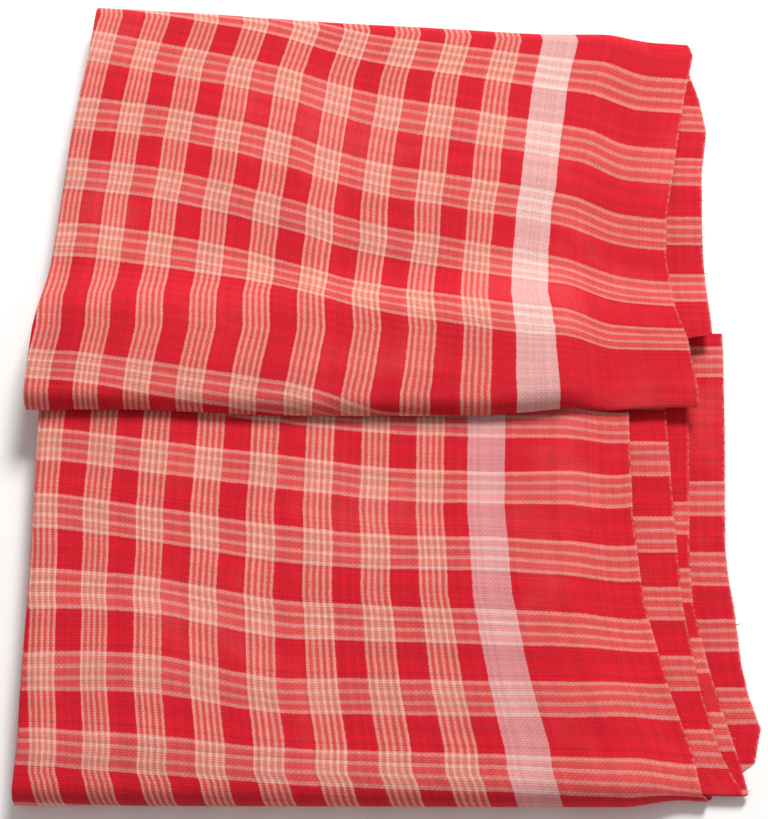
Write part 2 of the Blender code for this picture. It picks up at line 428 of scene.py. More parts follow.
    flap_slides: tuple[ColumnSlide, ...] = (
        ColumnSlide(y=175.0, slide=(-9.0, -11.0, -8.8, -5.5, -2.2, 0.0)),
        ColumnSlide(y=155.0, slide=(-8.0, -10.5, -9.4, -6.0, -1.8, 0.0)),
        ColumnSlide(y=128.0, slide=(-6.1, -8.6, -7.0, -4.6, 0.2, 0.0)),
        ColumnSlide(y=100.0, slide=(-3.3, -5.6, -4.8, -2.4, 2.4, 0.0)),
        ColumnSlide(y=72.0, slide=(-2.2, -4.6, -4.4, -0.2, 1.2, 0.0)),
        ColumnSlide(y=50.0, slide=(-4.5, -7.0, -6.2, -4.2, -1.5, 0.0)),
        ColumnSlide(y=30.0, slide=(-8.0, -10.5, -10.0, -7.5, -5.0, 0.0)),
        ColumnSlide(y=8.0, slide=(-12.8, -15.4, -15.5, -12.0, -7.0, 0.0)),
        ColumnSlide(y=-2.5, slide=(-14.0, -17.0, -17.9, -15.0, -7.5, 0.0)),
    )
    base_slide_x: tuple[float, ...] = (-133.0, -100.0, -45.0, 0.0, 45.0, 88.0)
    base_slides: tuple[ColumnSlide, ...] = (
        ColumnSlide(y=-20.0, slide=(-1.2, -2.0, -1.2, 0.0, 0.8, 0.0)),
        ColumnSlide(y=-66.0, slide=(0.9, -1.7, -1.6, 0.1, 0.5, 0.0)),
        ColumnSlide(y=-90.0, slide=(0.8, -3.0, -3.5, -1.2, 0.1, 0.0)),
        ColumnSlide(y=-120.0, slide=(-3.5, -7.5, -8.4, -5.5, -1.5, 0.0)),
        ColumnSlide(y=-152.0, slide=(-9.0, -12.8, -13.2, -10.3, -4.9, 0.0)),
        ColumnSlide(y=-156.0, slide=(-8.0, -11.5, -12.0, -9.0, -4.0, 0.0)),
    )
    # The strips that show at the right, beside the base and the flap, have slipped by themselves.
    under_flap_slips: tuple[RowSlip, ...] = (
        RowSlip(y=31.0, slip=12.0), RowSlip(y=55.0, slip=10.5),
        RowSlip(y=85.0, slip=8.7), RowSlip(y=119.0, slip=3.0),
    )
    under_base_slips: tuple[RowSlip, ...] = (
        RowSlip(y=-140.0, slip=-16.0), RowSlip(y=-57.0, slip=-17.7), RowSlip(y=-23.0, slip=-11.9),
    )
    back_flap_slips: tuple[RowSlip, ...] = (
        RowSlip(y=-156.0, slip=-3.0), RowSlip(y=-70.0, slip=1.8),
        RowSlip(y=-40.0, slip=0.0), RowSlip(y=22.0, slip=-5.6),
    )
    base_gives_way: Ramp = Ramp(start=-156.0, length=60.0)
    flap_takes_over: Ramp = Ramp(start=0.0, length=150.0)
    points: np.ndarray = field(default_factory=lambda: np.zeros((0, 0, 3)), repr=False)
    places: np.ndarray = field(default_factory=lambda: np.zeros((0, 0, 2)), repr=False)
    rows: list[Row] = field(default_factory=list, repr=False)

    @property
    def group(self) -> float:
        """Height of one panel's six layers."""
        return self.layers * self.pitch

    @property
    def turn(self) -> float:
        """Radius of the folds along the length."""
        return self.pitch / 2

    @staticmethod
    def read_outline(panel: tuple[Outline, ...], y: float) -> tuple[float, float, float]:
        """Reads a panel's outline between its lines.

        Args:
            panel: The panel's lines.
            y: Place away from the viewer.

        Returns:
            Left, end_1 and end_6 at that y.
        """
        lines = sorted(panel, key=lambda line: line.y)
        heights = [line.y for line in lines]
        left, end_1, end_6 = (float(np.interp(y, heights, [getattr(line, name) for line in lines]))
                              for name in ("left", "end_1", "end_6"))
        return left, end_1, end_6

    def settle_x(self, y: Any) -> Any:
        """Where the pile starts to thin out at the right."""
        heights, ends = zip(*((line.y, line.end_1) for line in self.base))
        return np.interp(y, heights, ends) - self.settle_back

    def stations(self, low: float, high: float, step: float) -> list[float]:
        """Even stations from low to high, both among them, no further apart than step."""
        return np.linspace(low, high, max(1, math.ceil((high - low) / step)) + 1).tolist()

    def wide_fold(self, region: Region, before: tuple[Outline, ...], after: tuple[Outline, ...],
                  y: float, z: float) -> list[Row]:
        """Lays the rows round one of the two folds across the width.

        Args:
            region: The bottom fold, which bulges towards the viewer, or the top crease.
            before: The panel that runs into the fold.
            after: The panel that leaves it.
            y: Where the fold's middle line lies.
            z: The height of its middle line.

        Returns:
            The rows between the two panels.
        """
        half, side = self.group / 2, -1.0 if region is Region.BOTTOM_FOLD else 1.0
        start, end, rows = self.read_outline(before, y), self.read_outline(after, y), []
        for k in range(1, self.wide_fold_steps):
            share = k / self.wide_fold_steps
            out = side * math.cos(math.pi * (share - 0.5))
            up = math.sin(math.pi * (share - 0.5))
            mixed = tuple(a + (b - a) * share for a, b in zip(start, end))
            rows.append(Row(region, y + half * out, z + half * up, -side * out, -side * up,
                            mixed, y))
        return rows

    def lay_rows(self) -> list[Row]:
        """Lays the rows across the width, from the back selvedge to the rolled edge.

        Returns:
            The rows in the order that a thread across the cloth passes them.
        """
        half, group, rows = self.group / 2, self.group, []
        back = self.stations(self.bottom_fold_y, self.back_selvedge_y, self.coarse_step)
        for y in reversed(back):
            outline = self.read_outline(self.back_flap, y)
            rows.append(Row(Region.BACK_FLAP, y, half, 0.0, -1.0, outline, y))
        rows += self.wide_fold(Region.BOTTOM_FOLD, self.back_flap, self.base,
                               self.bottom_fold_y, group)

        # The base is cut finely where it is seen, and coarsely where the flap hides it.
        seen_y = self.flap_edge_y - self.seen_under_edge
        base = self.stations(self.bottom_fold_y, seen_y, self.fine_step)
        base += self.stations(seen_y, self.hidden_fine_y, self.hidden_step)[1:]
        base += self.stations(self.hidden_fine_y, self.top_crease_y, self.coarse_step)[1:]
        for y in base:
            outline = self.read_outline(self.base, y)
            rows.append(Row(Region.BASE, y, group + half, 0.0, 1.0, outline, y))
        rows += self.wide_fold(Region.TOP_CREASE, self.base, self.front_flap,
                               self.top_crease_y, 2 * group)

        high, middle, low = self.notch_y
        flap = self.stations(high, self.top_crease_y, self.fine_step)[::-1]
        flap += [middle, low] + self.stations(self.flap_edge_y, low, self.fine_step)[-2::-1]
        for y in flap:
            outline = self.read_outline(self.front_flap, y)
            rows.append(Row(Region.FRONT_FLAP, y, 2 * group + half, 0.0, -1.0, outline, y))
        outline = self.read_outline(self.front_flap, self.flap_edge_y)
        for k in range(1, self.roll_steps + 1):
            angle = math.radians(self.flap_roll_degrees) * k / self.roll_steps
            out, up = -math.sin(angle), math.cos(angle)
            rows.append(Row(Region.ROLLED_EDGE, self.flap_edge_y + half * out,
                            2 * group + half * up, -out, -up, outline, self.flap_edge_y))
        return rows

    def section(self, row: Row) -> np.ndarray:
        """The back-and-forth section of one row.

        Args:
            row: The row.

        Returns:
            One line a point: x, height in the pile, and its layer, which grows round a fold.
        """
        left, end_1, end_6 = row.outline
        start = float(self.settle_x(row.panel_y))
        points: list[tuple[float, float, float]] = []
        for layer in range(1, self.layers + 1):
            height = (0.5 * (self.layers + 1) - layer) * self.pitch
            near = left + self.left_fold_offsets[(layer - 1) // 2] + self.turn
            if layer in (1, self.layers):
                cut, far = self.outer_cut, end_1 if layer == 1 else end_6
            else:
                cut = self.inner_cut
                far = start + self.right_fold_offsets[layer // 2 - 1] - self.turn
            xs = np.linspace(near, self.head_x, cut.head)[:-1].tolist()
            xs += self.stations(self.head_x, cut.tail_x, cut.step)
            xs += np.linspace(cut.tail_x, far, cut.tail)[1:].tolist()
            if layer % 2:
                xs.reverse()
            points += [(x, height, layer) for x in xs]
            if layer == self.layers:
                break
            turning = -1.0 if layer % 2 else 1.0
            for k in range(1, self.fold_steps):
                angle = math.pi * k / self.fold_steps
                out, up = turning * math.sin(angle), math.cos(angle)
                points.append((xs[-1] + self.turn * out, height - self.turn + self.turn * up,
                               layer + k / self.fold_steps))
        return np.array(points)

    def corner_shift(self, x: np.ndarray, y: np.ndarray, z: np.ndarray) -> np.ndarray:
        """How far the corners and the flap's rolled edge lie from straight, as in the solid.

        Args:
            x: Places to the right.
            y: Places away from the viewer.
            z: Heights in the flat pile.

        Returns:
            The shift of each place along y.
        """
        top = self.top_corner_rise * self.top_corner_x.at(x) * self.top_corner_y.at(y)
        bottom = self.bottom_corner_drop * self.bottom_corner_x.at(x) * self.bottom_corner_y.at(y)
        rise = self.flap_edge_left_rise * self.flap_edge_left_x.at(x)
        rise = rise + self.flap_edge_right_rise * self.flap_edge_right_x.at(x)
        near = np.exp(-(((y - self.flap_edge_y) / self.flap_edge_reach) ** 2))
        return top - bottom + np.where(z > 2 * self.group - self.pitch / 3, rise * near, 0.0)

    def settled(self, x: np.ndarray, y: np.ndarray, z: np.ndarray) -> np.ndarray:
        """Lets the flat pile settle, slants its folds and gives it soft swells, as in the solid.

        Args:
            x: Places to the right.
            y: Places away from the viewer.
            z: Heights in the flat pile.

        Returns:
            The settled points, three numbers each.
        """
        thinned = self.group - 2 * self.pitch
        shift = self.corner_shift(x, y, z)
        share = self.settle_share * ease((x - self.settle_x(y)) / self.settle_length)
        shift = shift + share * np.clip(self.bottom_fold_y - y - self.pitch, 0.0, thinned)
        lost = np.zeros_like(z)
        for k in range(self.panels):
            lost += np.clip(z - k * self.group - self.pitch, 0.0, thinned)
        z = z - share * lost

        # Past the back selvedge the pile steps down by what is left of the back flap.
        z = z - (self.group - share * thinned) * self.step_down.at(y)
        y = y + shift
        lift = 1.0 + sum(one.at(x, y) for one in self.swells) / self.swell_reference
        slanted = y + self.top_crease_slant * x * self.top_crease_slants.at(y)
        slanted = slanted + self.bottom_fold_slant * x * self.bottom_fold_slants.at(y)
        return np.stack([x, slanted, z * lift], axis=-1)

    def creased(self, points: np.ndarray, layer: np.ndarray, row: Row) -> np.ndarray:
        """Adds the narrow creases to the layers that show.

        Args:
            points: One row of settled points.
            layer: The layer of each point.
            row: The row they lie on.

        Returns:
            The same points with the creases in their heights.
        """
        x, y = points[:, 0], points[:, 1]
        if row.region in (Region.FRONT_FLAP, Region.ROLLED_EDGE):
            fade = self.flap_crease_layers.at(layer)
            fade = fade * self.flap_crease_heights.at(row.z / self.group)
            raised = sum(one.at(x, y) for one in self.flap_creases)
        elif row.region is Region.BASE and row.panel_y < self.flap_edge_y:
            fade = self.base_crease_layers.at(layer) * self.base_crease_y.at(row.panel_y)
            raised = sum(one.at(x, y) for one in self.base_creases)
        else:
            return points
        points[:, 2] += np.where(raised > 0.0, raised, self.trough_share * raised) * fade
        return points

    def slid(self, row: Row, layer: np.ndarray, x: np.ndarray,
             path: np.ndarray) -> tuple[np.ndarray, np.ndarray]:
        """Where the check has slid to on one row.

        Args:
            row: The row.
            layer: The layer of each point.
            x: The place of each point to the right.
            path: How far each point is from the front selvedge along the cloth.

        Returns:
            The slide along the length, and the place across the flat width, in mm.
        """
        # Half a fold belongs to the layer before it, so the first layer ends at 1.5.
        y, first = row.panel_y, layer < 1.5
        flap = RowLine.read(self.flap_rows, self.flap_row_x, x, path)
        under_flap = path + RowSlip.read(self.under_flap_slips, y)
        if row.region in (Region.FRONT_FLAP, Region.ROLLED_EDGE, Region.TOP_CREASE):
            along = ColumnSlide.read(self.flap_slides, self.flap_slide_x, x, y)
            return np.where(layer > self.layers - 1, along, 0.0), np.where(first, under_flap, flap)
        base = RowLine.read(self.base_rows, self.base_row_x, x, path)
        if row.region is Region.BACK_FLAP:
            own = path + RowSlip.read(self.back_flap_slips, y)
            across = base + (own - base) * self.base_gives_way.at(y)
            return np.zeros_like(x), np.where(first, across, path)
        under_base = path + RowSlip.read(self.under_base_slips, y)
        across = np.where(first, base, under_base)
        beyond = np.where(first, under_flap, flap)
        across = across + (beyond - across) * self.flap_takes_over.at(y)
        along = ColumnSlide.read(self.base_slides, self.base_slide_x, x, y)
        return np.where(layer < 2.0, along, 0.0), across

    def lay_out(self) -> None:
        """Works out every point of the cloth's middle and its place on the flat cloth."""
        self.rows = self.lay_rows()
        floor = self.turn - self.sheet / 2
        points, flat, layers = [], [], []
        for row in self.rows:
            x, h, layer = self.section(row).T
            y, z = row.y + row.normal_y * h, row.z + row.normal_z * h - floor
            points.append(self.creased(self.settled(x, y, z), layer, row))
            flat.append(np.stack([x, y, z, h], axis=-1))
            layers.append(layer)
        self.points = np.stack(points)
        pile, layer = np.stack(flat), np.stack(layers)

        # The width is the way from the front selvedge, and the length the way from the first end.
        steps = np.linalg.norm(np.diff(pile[:, :, 1:3], axis=0), axis=-1)
        width = np.zeros(layer.shape)
        width[:-1] = np.cumsum(steps[::-1], axis=0)[::-1]
        steps = np.linalg.norm(np.diff(pile[:, :, [0, 3]], axis=1), axis=-1)
        length = np.zeros(layer.shape)
        length[:, 1:] = np.cumsum(steps, axis=1)

        # The two outer layers are measured from their own ends, and the inner ones lie between.
        first, last = int(np.argmax(layer[0] > 1.0)), int(np.argmax(layer[0] >= self.layers))
        begin, at_last, total = length[:, first:first + 1], length[:, last:last + 1], length[:, -1:]
        finish = self.length - (total - at_last)
        inner = begin + (length - begin) * (finish - begin) / (at_last - begin)
        rest = np.where(layer >= self.layers, self.length - total + length, inner)
        along = np.where(layer <= 1.0, length, rest)
        for k, row in enumerate(self.rows):
            slide, width[k] = self.slid(row, layer[k], pile[k, :, 0], width[k])
            along[k] += np.where(layer[k] <= self.layers / 2, slide, -slide)
        self.places = np.stack([along, width], axis=-1) * MM

    def build(self) -> bpy.types.Object:
        """Builds the cloth and gives it its thickness.

        Returns:
            The towel as one closed mesh.
        """
        self.lay_out()
        rows, columns = self.points.shape[:2]
        placed = (self.points - (self.origin_x, self.origin_y, 0.0)) * MM
        number = np.arange(rows * columns).reshape(rows, columns)
        corners = (number[:-1, :-1], number[:-1, 1:], number[1:, 1:], number[1:, :-1])
        faces = np.stack([corner.ravel() for corner in corners], axis=-1).tolist()
        towel = mesh_object("woven_towel", placed.reshape(-1, 3), faces, self.places.reshape(-1, 2))
        bpy.ops.object.select_all(action="DESELECT")
        towel.select_set(True)
        bpy.context.view_layer.objects.active = towel
        wall = towel.modifiers.new("thickness", "SOLIDIFY")
        wall.thickness = self.sheet * MM
        wall.offset = 0.0
        bpy.ops.object.modifier_apply(modifier=wall.name)
        bpy.ops.object.shade_smooth_by_angle(angle=math.radians(self.smooth_degrees))
        return towel

    def dress(self, towel: bpy.types.Object, finish: "CheckedCotton") -> None:
        """Gives the towel its woven cotton."""
        towel.data.materials.append(finish.make())

    def end_line(self, region: Region, layer: int) -> tuple[np.ndarray, np.ndarray, np.ndarray]:
        """One of the cloth's two ends where it crosses a panel.

        Args:
            region: The panel.
            layer: 1 for the end that starts the top layer of the base, 6 for the other.

        Returns:
            Points on the end, points a little inside it, and their places on the flat cloth.
        """
        chosen = [k for k, row in enumerate(self.rows) if row.region is region]
        edge, inside = (0, 1) if layer == 1 else (-1, -2)
        return (self.points[chosen, edge], self.points[chosen, inside], self.places[chosen, edge])


@dataclass
class FrayedEnds:
    """Short loose threads along the ends that show. The cloth is cut there and has no hem.

    Lengths are in mm. Spread is a share of the spacing, and lean, sway and droop of the length.
    """

    spacing: float = 1.1
    spread: float = 0.4
    shortest: float = 0.2
    longest: float = 0.9
    stray_share: float = 0.012
    stray_length: float = 2.2
    rooted: float = 0.4
    lean: float = 0.45
    sway: float = 0.3
    droop: tuple[float, float] = (-0.12, 0.1)
    lowest: float = 0.02
    radius: float = 0.13
    rings: tuple[tuple[float, float], ...] = ((0.0, 1.0), (0.55, 0.8))
    sides: int = 3
    seed: int = 11
    lines: tuple[tuple[Region, int], ...] = (
        (Region.BASE, 1), (Region.BASE, 6), (Region.BACK_FLAP, 1), (Region.BACK_FLAP, 6),
        (Region.FRONT_FLAP, 6), (Region.FRONT_FLAP, 1),
    )

    def one_thread(self, root: np.ndarray, out: np.ndarray, length: float,
                   bend: np.ndarray) -> np.ndarray:
        """Lays the points of one thread: two rings and a tip.

        Args:
            root: Where the thread starts, inside the cloth.
            out: The way it points, of length 1.
            length: How long it is.
            bend: How far its tip is bent aside.

        Returns:
            The points, the rings' first and the tip last.
        """
        side = np.cross(out, (0.0, 0.0, 1.0))
        side /= np.linalg.norm(side)
        up = np.cross(side, out)
        points = []
        for share, thin in self.rings:
            middle = root + out * length * share + bend * share * share
            for k in range(self.sides):
                angle = 2.0 * math.pi * k / self.sides
                away = side * math.cos(angle) + up * math.sin(angle)
                points.append(middle + self.radius * thin * away)
        points.append(root + out * length + bend)
        return np.array(points)

    def build(self, cloth: FoldedCloth) -> bpy.types.Object:
        """Builds the threads of all the ends as one mesh.

        Args:
            cloth: The laid out cloth.

        Returns:
            The threads.
        """
        chance = np.random.default_rng(self.seed)
        points, places, faces = [], [], []
        n = self.sides
        for region, layer in self.lines:
            edge, inside, place = cloth.end_line(region, layer)
            gaps = np.linalg.norm(np.diff(edge, axis=0), axis=1)
            steps = np.concatenate([[0.0], np.cumsum(gaps)])
            at = np.arange(self.spacing, steps[-1] - self.spacing, self.spacing)
            at = at + chance.uniform(-self.spread, self.spread, len(at)) * self.spacing
            for where in at:
                root, back = (np.array([np.interp(where, steps, line[:, k]) for k in range(3)])
                              for line in (edge, inside))
                spot = np.array([np.interp(where, steps, place[:, k]) for k in range(2)])
                out = (root - back) / np.linalg.norm(root - back)
                out = out + np.array([0.0, chance.uniform(-self.lean, self.lean), 0.0])
                out /= np.linalg.norm(out)
                stray = chance.random() < self.stray_share
                length = self.stray_length if stray else chance.uniform(self.shortest, self.longest)
                sway, droop = chance.uniform(-self.sway, self.sway), chance.uniform(*self.droop)
                bend = np.array([0.0, sway, droop]) * length
                first = sum(len(p) for p in points)
                made = self.one_thread(root - out * self.rooted, out, length + self.rooted, bend)
                made[:, 2] = np.maximum(made[:, 2], self.lowest)
                points.append(made)
                places.append(np.tile(spot, (len(made), 1)))
                for k in range(n):
                    m = (k + 1) % n
                    faces.append((first + k, first + m, first + n + m, first + n + k))
                    faces.append((first + n + k, first + n + m, first + 2 * n))
                faces.append(tuple(first + k for k in reversed(range(n))))
        placed = (np.concatenate(points) - (cloth.origin_x, cloth.origin_y, 0.0)) * MM
        return mesh_object("frayed_ends", placed, faces, np.concatenate(places))


@dataclass(frozen=True)
class CheckedCotton:
    """Plain woven cotton, yarn dyed: matt, a little fuzzy, each thread a slightly different red.

    Lengths are in mm on the flat cloth. Rows are the stripes along the cloth, in its warp, and
    columns are those across it, in its weft.
    """

    name: str = "yarn_dyed_cotton_check"
    # The real threads lie 0.55 mm apart, too fine for the picture, so they are drawn coarser.
    thread: float = 0.92
    width: float = 730.8
    length: float = 1400.0
    border_row: float = 12.5
    first_row: float = 68.9
    row_repeat: float = 28.24
    row_line_gap: float = 4.1
    band: float = 60.0
    first_column: float = 82.3
    column_repeat: float = 21.8
    column_line_gap: float = 2.45
    # Between which distances from its middle a stripe or a line fades into its ground.
    row_edge: tuple[float, float] = (6.7, 7.25)
    row_line_edge: tuple[float, float] = (0.17, 1.22)
    band_edge: tuple[float, float] = (7.25, 7.75)
    column_edge: tuple[float, float] = (5.25, 5.75)
    column_line_edge: tuple[float, float] = (0.13, 0.93)
    red: str = "#E1132A"
    warp_light: str = "#FFD8CA"
    warp_gap: str = "#F78276"
    weft_light: str = "#FFBAAA"
    weft_gap: str = "#EC6459"
    first_band: str = "#F2B3B4"
    last_band: str = "#FAD6CF"
    olive: str = "#CBA27C"
    olive_share: float = 0.36
    warp_share: float = 0.35
    over_share: float = 0.10
    worn: str = "#F2B8AA"
    faded: str = "#F0A8A0"
    # Scales are repeats a mm: wander over 20 mm, wobble 2, slubs 1.4, clouds 55 and crumples 22.
    wander_scale: float = 0.05
    wander: float = 0.9
    wobble_scale: float = 0.5
    wobble: float = 0.4
    slub_scale: float = 0.7
    cloud_scale: float = 0.018
    crumple_scale: float = 0.045
    # A ramp runs between two values of its noise or distances in mm, from one share to another.
    fade_ramp: tuple[float, ...] = (0.5, 0.78, 0.0, 0.08)
    worn_ramp: tuple[float, ...] = (0.2, 1.2, 0.28, 0.0)
    patchy_ramp: tuple[float, ...] = (0.42, 0.6, 0.1, 1.0)
    # The depth of the dye, and each noise's share in it. The bulge share is painted shade that
    # darkens the gaps between the threads. Their middle is taken off again.
    depth: float = 0.81
    dye_and_shade_middle: float = 0.36
    warp_dye: float = 0.14
    weft_dye: float = 0.12
    cloud_dye: float = 0.22
    slub_dye: float = 0.18
    painted_weave_shade: float = 0.12
    roughness: float = 0.86
    roughness_spread: float = 0.10
    sheen: float = 0.04
    sheen_roughness: float = 0.5
    ior: float = 1.5
    specular: float = 0.25
    # How steeply a thread's top rounds off across it and along it.
    across_round: float = -4.0
    along_round: float = -1.6
    thread_height: float = 0.14
    thread_strength: float = 0.7
    crumple_height: float = 2.0
    crumple_strength: float = 0.35

    def make(self) -> bpy.types.Material:
        """Builds the material.

        Returns:
            The cotton, its check placed by the UV map named cloth.
        """
        material = bpy.data.materials.new(self.name)
        material.use_nodes = True
        tree = material.node_tree
        shader = tree.nodes["Principled BSDF"]
        cloth = node(tree, "ShaderNodeUVMap", {}, uv_map="cloth")
        in_mm = node(tree, "ShaderNodeVectorMath", {0: cloth, 3: 1000.0}, operation="SCALE")
        place = node(tree, "ShaderNodeSeparateXYZ", {0: in_mm})
        u, v = place.outputs[0], place.outputs[1]
        warp, weft, olive = self.stripes(tree, in_mm, u, v)
        over, bulge, warp_thread, weft_thread = self.weave(tree, u, v)
        slub, cloud, crumple = (
            node(tree, NOISE, {"Vector": in_mm, "Scale": scale, "Detail": detail},
                 noise_dimensions="2D")
            for scale, detail in ((self.slub_scale, 3.0), (self.cloud_scale, 4.0),
                                  (self.crumple_scale, 3.0)))

        # Washing has faded the dye in clouds, and the cut ends have gone pale and fuzzy.
        fade = node(tree, RAMP, (cloud, *self.fade_ramp), interpolation_type="SMOOTHSTEP")
        other = node(tree, MATH, (self.length, u), operation="SUBTRACT")
        from_end = node(tree, MATH, (u, other), operation="MINIMUM")
        near_end = node(tree, RAMP, (from_end, *self.worn_ramp), interpolation_type="SMOOTHSTEP")
        patchy = node(tree, RAMP, (slub, *self.patchy_ramp), interpolation_type="SMOOTHSTEP")
        worn = node(tree, MATH, (near_end, patchy), operation="MULTIPLY")
        share = node(tree, MATH, (over, self.over_share, self.warp_share - self.over_share / 2),
                     operation="MULTIPLY_ADD")
        colour = node(tree, MIX, {0: share, 6: weft, 7: warp}, data_type="RGBA")
        for share, tint in ((olive, self.olive), (fade, self.faded), (worn, self.worn)):
            colour = node(tree, MIX, {0: share, 6: colour.outputs[2], 7: linear(tint)},
                          data_type="RGBA")

        # Each thread takes the dye a little differently, and painted shade darkens the low gaps
        # between the threads.
        value: Any = self.depth - self.dye_and_shade_middle
        for source, share in ((warp_thread, self.warp_dye), (weft_thread, self.weft_dye),
                              (cloud, self.cloud_dye), (slub, self.slub_dye),
                              (bulge, self.painted_weave_shade)):
            value = node(tree, MATH, (source, share, value), operation="MULTIPLY_ADD")
        shade = node(tree, "ShaderNodeCombineXYZ", (value, value, value))
        dyed = node(tree, MIX, {0: 1.0, 6: colour.outputs[2], 7: shade}, data_type="RGBA",
                    blend_type="MULTIPLY")
        tree.links.new(dyed.outputs[2], shader.inputs["Base Color"])

        spread = self.roughness_spread
        rough = node(tree, MATH, (slub, spread, self.roughness - spread / 2),
                     operation="MULTIPLY_ADD")
        tree.links.new(rough.outputs[0], shader.inputs["Roughness"])
        shader.inputs["Sheen Weight"].default_value = self.sheen
        shader.inputs["Sheen Roughness"].default_value = self.sheen_roughness
        shader.inputs["IOR"].default_value = self.ior
        shader.inputs["Specular IOR Level"].default_value = self.specular
        soft = node(tree, "ShaderNodeBump", {"Height": crumple, "Strength": self.crumple_strength,
                                             "Distance": self.crumple_height * MM})
        bump = node(tree, "ShaderNodeBump", {"Height": bulge, "Strength": self.thread_strength,
                                             "Distance": self.thread_height * MM, "Normal": soft})
        tree.links.new(bump.outputs[0], shader.inputs["Normal"])
        return material

    def stripes(self, tree: bpy.types.NodeTree, in_mm: bpy.types.Node, u: bpy.types.NodeSocket,
                v: bpy.types.NodeSocket) -> tuple[Any, Any, Any]:
        """Sets the colours of the two sets of threads.

        Args:
            tree: The material's node tree.
            in_mm: The place on the flat cloth, in mm.
            u: Its length.
            v: Its width.

        Returns:
            The warp's colour, the weft's colour and how olive the gaps of a crossing are.
        """
        # Hand-set yarns wander a little, so each line's edge wobbles.
        slow = node(tree, NOISE, {"Vector": in_mm, "Scale": self.wander_scale, "Detail": 2.0},
                    noise_dimensions="2D")
        fine = node(tree, NOISE, {"Vector": in_mm, "Scale": self.wobble_scale, "Detail": 1.0},
                    noise_dimensions="2D")
        slow_uv = node(tree, "ShaderNodeSeparateXYZ", {0: slow.outputs["Color"]})
        fine_uv = node(tree, "ShaderNodeSeparateXYZ", {0: fine.outputs["Color"]})
        wandered = []
        for k, along in enumerate((u, v)):
            drift = node(tree, MATH, (slow_uv.outputs[k], self.wander,
                                      -0.5 * (self.wander + self.wobble)), operation="MULTIPLY_ADD")
            drift = node(tree, MATH, (fine_uv.outputs[k], self.wobble, drift),
                         operation="MULTIPLY_ADD")
            wandered.append(node(tree, MATH, (along, drift), operation="ADD"))

        # Both halves of the cloth are alike, so a place is told by its nearest end and selvedge.
        other = node(tree, MATH, (self.length, wandered[0]), operation="SUBTRACT")
        from_end = node(tree, MATH, (wandered[0], other), operation="MINIMUM")
        other = node(tree, MATH, (self.width, wandered[1]), operation="SUBTRACT")
        from_side = node(tree, MATH, (wandered[1], other), operation="MINIMUM")

        # How far a place is from the middle of its row. Only the border lies before the first row.
        half = self.row_repeat / 2
        row_in = node(tree, MATH, (from_side, self.first_row), operation="SUBTRACT")
        row_in = node(tree, MATH, (row_in, 0.1 - half), operation="MAXIMUM")
        row_in = node(tree, MATH, (row_in, half, -half), operation="WRAP")
        row_in = node(tree, MATH, (row_in,), operation="ABSOLUTE")
        border = node(tree, MATH, (from_side, self.border_row), operation="SUBTRACT")
        border = node(tree, MATH, (border,), operation="ABSOLUTE")
        row_in = node(tree, MATH, (row_in, border), operation="MINIMUM")
        in_row = node(tree, RAMP, (row_in, *self.row_edge, 1.0, 0.0),
                      interpolation_type="SMOOTHSTEP")
        half = self.row_line_gap / 2
        row_line = node(tree, MATH, (row_in, half), operation="SUBTRACT")
        row_line = node(tree, MATH, (row_line, half, -half), operation="WRAP")
        row_line = node(tree, MATH, (row_line,), operation="ABSOLUTE")
        row_line = node(tree, RAMP, (row_line, *self.row_line_edge, 1.0, 0.0),
                        interpolation_type="SMOOTHSTEP")

        # The same for the columns. Only the white band lies before the first one.
        half = self.column_repeat / 2
        column_in = node(tree, MATH, (from_end, self.first_column), operation="SUBTRACT")
        column_in = node(tree, MATH, (column_in, 0.1 - half), operation="MAXIMUM")
        column_in = node(tree, MATH, (column_in, half, -half), operation="WRAP")
        column_in = node(tree, MATH, (column_in,), operation="ABSOLUTE")
        in_column = node(tree, RAMP, (column_in, *self.column_edge, 1.0, 0.0),
                         interpolation_type="SMOOTHSTEP")
        half = self.column_line_gap / 2
        column_line = node(tree, MATH, (column_in, half, -half), operation="WRAP")
        column_line = node(tree, MATH, (column_line,), operation="ABSOLUTE")
        column_line = node(tree, RAMP, (column_line, *self.column_line_edge, 1.0, 0.0),
                           interpolation_type="SMOOTHSTEP")
        band_in = node(tree, MATH, (from_end, self.band), operation="SUBTRACT")
        band_in = node(tree, MATH, (band_in,), operation="ABSOLUTE")
        in_band = node(tree, RAMP, (band_in, *self.band_edge, 1.0, 0.0),
                       interpolation_type="SMOOTHSTEP")

        warp = node(tree, MIX, {0: row_line, 6: linear(self.warp_gap), 7: linear(self.warp_light)},
                    data_type="RGBA")
        warp = node(tree, MIX, {0: in_row, 6: linear(self.red), 7: warp.outputs[2]},
                    data_type="RGBA")
        weft = node(tree, MIX, {0: column_line, 6: linear(self.weft_gap),
                                7: linear(self.weft_light)}, data_type="RGBA")
        weft = node(tree, MIX, {0: in_column, 6: linear(self.red), 7: weft.outputs[2]},
                    data_type="RGBA")
        which = node(tree, MATH, (u, self.length / 2), operation="GREATER_THAN")
        white = node(tree, MIX, {0: which, 6: linear(self.first_band), 7: linear(self.last_band)},
                     data_type="RGBA")
        weft = node(tree, MIX, {0: in_band, 6: weft.outputs[2], 7: white.outputs[2]},
                    data_type="RGBA")

        # Where a row crosses a column, the gaps between both sets of lines look olive.
        off_row = node(tree, MATH, (1.0, row_line), operation="SUBTRACT")
        off_column = node(tree, MATH, (1.0, column_line), operation="SUBTRACT")
        off = node(tree, MATH, (off_row, off_column), operation="MULTIPLY")
        crossing = node(tree, MATH, (in_row, in_column), operation="MULTIPLY")
        olive = node(tree, MATH, (off, crossing), operation="MULTIPLY")
        olive = node(tree, MATH, (olive, self.olive_share), operation="MULTIPLY")
        return warp.outputs[2], weft.outputs[2], olive.outputs[0]

